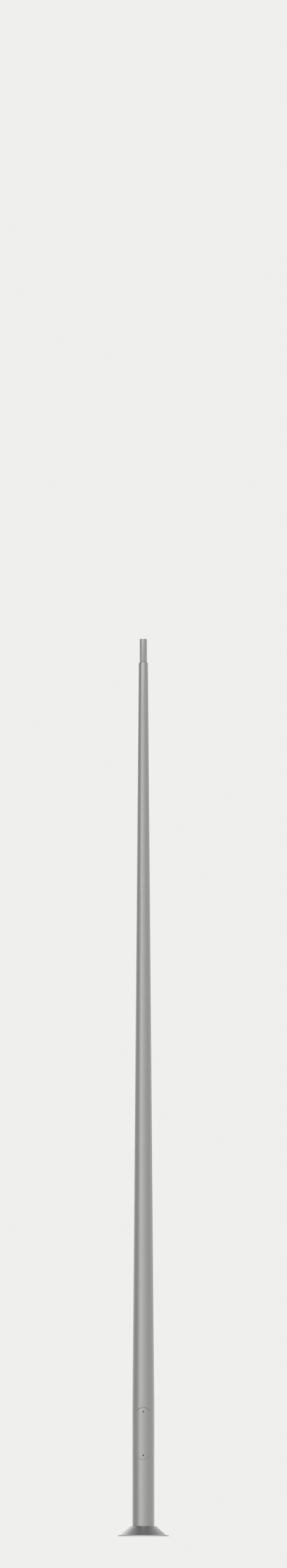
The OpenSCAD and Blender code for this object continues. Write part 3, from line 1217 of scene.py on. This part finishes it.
head_back = head_seat + SEAT_GAP_MM
socket_floor = head_front - SOCKET_DEPTH_MM
head_loops = [
    circle_loop(SCREW_R_MM, head_back, HEAD_SIDES),
    circle_loop(screw_head_r - HEAD_EDGE_MM / 2, head_back, HEAD_SIDES),
    circle_loop(screw_head_r, head_back + HEAD_EDGE_MM / 2, HEAD_SIDES),
    circle_loop(screw_head_r, head_front - HEAD_EDGE_MM, HEAD_SIDES),
    circle_loop(screw_head_r - HEAD_ROUND_MM, head_front - HEAD_ROUND_MM, HEAD_SIDES),
    circle_loop(screw_head_r - HEAD_EDGE_MM, head_front, HEAD_SIDES),
    hexagon_loop(SOCKET_AF_MM + 2 * SOCKET_EDGE_MM, head_front, HEAD_SIDES),
    hexagon_loop(SOCKET_AF_MM, head_front - SOCKET_EDGE_MM, HEAD_SIDES),
    hexagon_loop(SOCKET_AF_MM, socket_floor, HEAD_SIDES),
    circle_loop(DRILL_POINT_R_MM, socket_floor - DRILL_POINT_MM, HEAD_SIDES),
]
shank_loops = thread_loops(SCREW_R_MM, SCREW_PITCH_MM, -screw_high.y, head_back)
for name in SCREW_NAMES:
    skins = [skin(loops, closed=False, place=screw_places[name]) for loops in (head_loops, shank_loops)]
    finish_piece(f"socket_screw_{name}", join(skins), black_steel, "door", f"door_screw_{name}")

# %% [markdown]
# The bridges are flat bars that cross the inside of the shaft and take the screws. A bar's ends are cut
# to the bore's curve so that they can be welded to it. The outline is drawn in plan, lifted to the bar's
# height, and drilled for the screw.

# %% Build the bridges
BRIDGE_END_STEPS = 4
BRIDGE_EDGE_MM = 0.4


def lifted(plan, start, end):
    """Points and faces of a flat outline lifted from one height to another."""
    return skin([[Vector((x, y, z)) for x, y in plan] for z in (start, end)], closed=False)


for name in SCREW_NAMES:
    low, high = box_mm(f"door_bridge_{name}")
    end_depths = [low.y] + steps_between(low.y, high.y, BRIDGE_END_STEPS)
    right = [(math.sqrt(inner_seat_r ** 2 - y ** 2), y) for y in end_depths]
    blank = lifted(right + [(-x, y) for x, y in right[::-1]], low.z, high.z)
    bar = finish_piece(f"bridge_bar_{name}", blank, mill_aluminium, "pole", f"door_bridge_{name}")
    drill(bar, [rod(thread_hole_r, 0, shaft_r, DRILL_SEGMENTS, screw_places[name])], BRIDGE_EDGE_MM)

# %% [markdown]
# The equipment rail is steel strip rolled to a C, so its corners are round: an inside radius of about one
# thickness and an outside radius of two. Its outline goes once round the outside and back round the
# inside, and it is lifted to the rail's height.

# %% Build the equipment rail
RAIL_SHEET_MM = 2.0
RAIL_LIP_MM = 9.5
RAIL_BEND_MM = 3.0
ROLLED_EDGE_MM = 0.4
SAWN_EDGE_MM = 0.2

rail_low, rail_high = box_mm("equipment_rail")
lip_x = rail_high.x - RAIL_LIP_MM
outside_x, inside_x = rail_high.x, rail_high.x - RAIL_SHEET_MM
front_y, back_y = rail_low.y, rail_high.y
inside_bend = RAIL_BEND_MM - RAIL_SHEET_MM
right_half = [
    (lip_x, front_y + RAIL_SHEET_MM, ROLLED_EDGE_MM),
    (lip_x, front_y, ROLLED_EDGE_MM),
    (outside_x, front_y, RAIL_BEND_MM),
    (outside_x, back_y, RAIL_BEND_MM),
]
left_half = [(-x, y, rounding) for x, y, rounding in right_half[::-1]]
inside = [
    (-inside_x, front_y + RAIL_SHEET_MM, inside_bend),
    (-inside_x, back_y - RAIL_SHEET_MM, inside_bend),
    (inside_x, back_y - RAIL_SHEET_MM, inside_bend),
    (inside_x, front_y + RAIL_SHEET_MM, inside_bend),
]
strip = lifted(rounded(right_half + left_half + inside), rail_low.z, rail_high.z)
c_rail = finish_piece("c_rail", strip, zinc_steel, "pole", "equipment_rail")
break_edges(c_rail, SAWN_EDGE_MM)

# %% [markdown]
# The earth point is a brass stud on the shaft's wall, beside the rail, with a washer and a nut. A matrix
# stands a piece made along +Z on the wall at the stud's angle, pointing at the axis. The stud is threaded
# from end to end, so it is the screws' helix again with its own pitch.

# %% Build the earth stud
EARTH_DEGREES = 40.0
EARTH_R_MM = 4.0
EARTH_PITCH_MM = 1.25
EARTH_LENGTH_MM = 30.0

earth_z = middle_z("earth_stud")


def on_stud(inward):
    """Matrix that puts a piece made along +Z on the earth stud, a distance in from the bore."""
    turn = Matrix.Rotation(-math.radians(EARTH_DEGREES), 4, "Z")
    out = Matrix.Translation((0, bore_r - inward, earth_z))
    return turn @ out @ Matrix.Rotation(RIGHT_ANGLE, 4, "X")


stud_loops = thread_loops(EARTH_R_MM, EARTH_PITCH_MM, 0, EARTH_LENGTH_MM)
stud = skin(stud_loops, closed=False, place=on_stud(SEAT_GAP_MM))
finish_piece("earth_bolt", stud, turned_brass, "pole", "earth_stud")

# %% [markdown]
# The washer spreads the nut's load. It is stamped from strip, which leaves its edges slightly round, so
# it is a small rounded outline turned on the stud's axis.

# %% Build the earth washer
STANDOFF_MM = 10.0
WASHER_R_MM = 8.0
WASHER_MM = 1.6
WASHER_EDGE_MM = 0.3

washer_hole_r = EARTH_R_MM + SEAT_GAP_MM
washer_corners = [(washer_hole_r, 0), (WASHER_R_MM, 0), (WASHER_R_MM, WASHER_MM), (washer_hole_r, WASHER_MM)]
washer_outline = rounded([(r, z, WASHER_EDGE_MM) for r, z in washer_corners])
washer = lathe(washer_outline, SLEEVE_SEGMENTS, on_stud(STANDOFF_MM))
finish_piece("earth_flat_washer", washer, zinc_steel, "pole", "earth_washer")

# %% [markdown]
# The nut is a hexagon whose ends are turned to a shallow cone, which takes the corners off and leaves a
# curve on each flat. So each point of the hexagon drops by its distance beyond the flats times the slope
# of that cone.

# %% Build the earth nut
NUT_AF_MM = 13.0
NUT_MM = 6.5
NUT_EDGE_MM = 0.3
NUT_SIDES = 72
CHAMFER_DEGREES = 30.0

nut_flat_r = NUT_AF_MM / 2 - NUT_EDGE_MM
chamfer_slope = math.tan(math.radians(CHAMFER_DEGREES))
nut_foot = hexagon_loop(NUT_AF_MM, 0, NUT_SIDES)
nut_head = hexagon_loop(NUT_AF_MM, NUT_MM, NUT_SIDES)
for i, turn in enumerate(spokes(NUT_SIDES)):
    drop = (hexagon_r(turn, NUT_AF_MM) - nut_flat_r) * chamfer_slope
    nut_foot[i].z += drop
    nut_head[i].z -= drop
nut_loops = [
    circle_loop(washer_hole_r, 0, NUT_SIDES),
    circle_loop(nut_flat_r, 0, NUT_SIDES),
    nut_foot,
    nut_head,
    circle_loop(nut_flat_r, NUT_MM, NUT_SIDES),
    circle_loop(washer_hole_r, NUT_MM, NUT_SIDES),
]
nut = skin(nut_loops, closed=True, place=on_stud(STANDOFF_MM + WASHER_MM))
finish_piece("earth_hex_nut", nut, turned_brass, "pole", "earth_nut")
